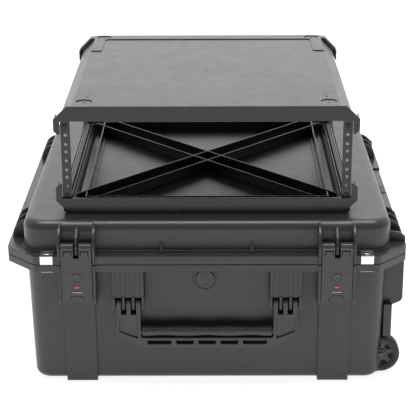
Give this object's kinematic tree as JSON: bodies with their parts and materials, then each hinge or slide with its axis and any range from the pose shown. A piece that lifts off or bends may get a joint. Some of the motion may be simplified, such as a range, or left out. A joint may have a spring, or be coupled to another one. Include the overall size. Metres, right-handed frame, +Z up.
{
  "type": "equipment rack case",
  "caption": "Wheeled hinged utility case with latches, carry handles, tow handle and foam, and an open rack cage standing on its lid.",
  "frame": {"origin": "middle of the footprint, on the floor", "axes": "+X to the wheel end, +Y to the hinge side, +Z up; the latches are at -Y"},
  "size_m": [0.67, 0.6739, 0.4815],
  "materials": {
    "moulded_shell": "satin, fine moulded texture",
    "cage_plastic": "satin, fine moulded texture",
    "rail_metal": "satin black",
    "latch_plastic": "fine satin",
    "soft_rubber": "matte",
    "tyre_rubber": "matte",
    "foam": "open cell foam",
    "indicator_red": "gloss",
    "bright_steel": "brushed",
    "dark_steel": "blackened"
  },
  "bodies": {
    "base": {"base_shell": "moulded_shell", "base_foam": "foam", "pressure_valve": "latch_plastic", "valve_nut": "soft_rubber", "padlock_plate_base_left": "bright_steel", "padlock_plate_base_right": "bright_steel", "hinge_pin_left": "dark_steel", "hinge_pin_right": "dark_steel", "front_handle_pin_a": "dark_steel", "front_handle_pin_b": "dark_steel", "side_handle_pin_a": "dark_steel", "side_handle_pin_b": "dark_steel", "wheel_housing_front": "moulded_shell", "wheel_housing_rear": "moulded_shell", "wheel_axle_front": "bright_steel", "wheel_axle_rear": "bright_steel", "tow_chassis": "moulded_shell", "tow_sleeve_front": "bright_steel", "tow_sleeve_rear": "bright_steel", "tow_screw_front_lower": "bright_steel", "tow_screw_front_upper": "bright_steel", "tow_screw_rear_lower": "bright_steel", "tow_screw_rear_upper": "bright_steel"},
    "lid": {"lid_shell": "moulded_shell", "lid_foam": "foam", "gasket": "soft_rubber", "padlock_plate_lid_left": "bright_steel", "padlock_plate_lid_right": "bright_steel", "latch_pin_left": "dark_steel", "latch_pin_right": "dark_steel"},
    "latch_left": {"latch_left": "latch_plastic", "lock_indicator_left": "indicator_red", "trigger_pin_left": "dark_steel"},
    "latch_right": {"latch_right": "latch_plastic", "lock_indicator_right": "indicator_red", "trigger_pin_right": "dark_steel"},
    "trigger_left": {"trigger_left": "latch_plastic"},
    "trigger_right": {"trigger_right": "latch_plastic"},
    "lock_left": {"lock_plug_left": "dark_steel"},
    "lock_right": {"lock_plug_right": "dark_steel"},
    "front_handle": {"front_handle_frame": "latch_plastic", "front_handle_grip": "soft_rubber"},
    "side_handle": {"side_handle_frame": "latch_plastic", "side_handle_grip": "soft_rubber"},
    "wheel_front": {"wheel_hub_front": "latch_plastic", "wheel_tyre_front": "tyre_rubber"},
    "wheel_rear": {"wheel_hub_rear": "latch_plastic", "wheel_tyre_rear": "tyre_rubber"},
    "tow_stage": {"tow_stage_tube_front": "bright_steel", "tow_stage_tube_rear": "bright_steel"},
    "tow_grip": {"tow_rod_front": "bright_steel", "tow_rod_rear": "bright_steel", "tow_grip": "latch_plastic"},
    "tow_button": {"tow_button": "soft_rubber"},
    "cage": {"cage_bottom_tray": "cage_plastic", "cage_top_tray": "cage_plastic", "rail_front_left": "rail_metal", "rail_front_right": "rail_metal", "rail_rear_left": "rail_metal", "rail_rear_right": "rail_metal"}
  },
  "joints": [
    {"name": "lid_hinge", "type": "hinge", "parent": "base", "child": "lid", "pos_m": [0, 0.331, 0.229], "axis": [-1, 0, 0], "range_deg": [0, 95]},
    {"name": "front_handle_swing", "type": "hinge", "parent": "base", "child": "front_handle", "pos_m": [0, -0.318, 0.155], "axis": [-1, 0, 0], "range_deg": [0, 100]},
    {"name": "side_handle_swing", "type": "hinge", "parent": "base", "child": "side_handle", "pos_m": [-0.3126, 0, 0.155], "axis": [0, 1, 0], "range_deg": [0, 100]},
    {"name": "wheel_front_spin", "type": "hinge", "parent": "base", "child": "wheel_front", "pos_m": [0.3005, -0.265, 0.037], "axis": [0, 1, 0], "continuous": true},
    {"name": "wheel_rear_spin", "type": "hinge", "parent": "base", "child": "wheel_rear", "pos_m": [0.3005, 0.265, 0.037], "axis": [0, 1, 0], "continuous": true},
    {"name": "tow_stage_slide", "type": "slide", "parent": "base", "child": "tow_stage", "axis": [0, 0, 1], "range_m": [0, 0.12]},
    {"name": "tow_grip_slide", "type": "slide", "parent": "tow_stage", "child": "tow_grip", "axis": [0, 0, 1], "range_m": [0, 0.12]},
    {"name": "tow_button_press", "type": "slide", "parent": "tow_grip", "child": "tow_button", "axis": [0, 0, -1], "range_m": [0, 0.003], "stiffness_N_per_m": 400},
    {"name": "cage_lift", "type": "slide", "parent": "lid", "child": "cage", "axis": [0, 0, 1], "range_m": [0, 0.25]},
    {"name": "latch_left_swing", "type": "hinge", "parent": "lid", "child": "latch_left", "pos_m": [-0.215, -0.326, 0.257], "axis": [-1, 0, 0], "range_deg": [0, 110]},
    {"name": "trigger_left_press", "type": "hinge", "parent": "latch_left", "child": "trigger_left", "pos_m": [-0.215, -0.3315, 0.17], "axis": [1, 0, 0], "range_deg": [0, 10], "stiffness_Nm_per_rad": 0.2},
    {"name": "lock_left_turn", "type": "hinge", "parent": "latch_left", "child": "lock_left", "pos_m": [-0.215, -0.33365, 0.207], "axis": [0, 1, 0], "range_deg": [0, 90]},
    {"name": "latch_right_swing", "type": "hinge", "parent": "lid", "child": "latch_right", "pos_m": [0.215, -0.326, 0.257], "axis": [-1, 0, 0], "range_deg": [0, 110]},
    {"name": "trigger_right_press", "type": "hinge", "parent": "latch_right", "child": "trigger_right", "pos_m": [0.215, -0.3315, 0.17], "axis": [1, 0, 0], "range_deg": [0, 10], "stiffness_Nm_per_rad": 0.2},
    {"name": "lock_right_turn", "type": "hinge", "parent": "latch_right", "child": "lock_right", "pos_m": [0.215, -0.33365, 0.207], "axis": [0, 1, 0], "range_deg": [0, 90]}
  ]
}
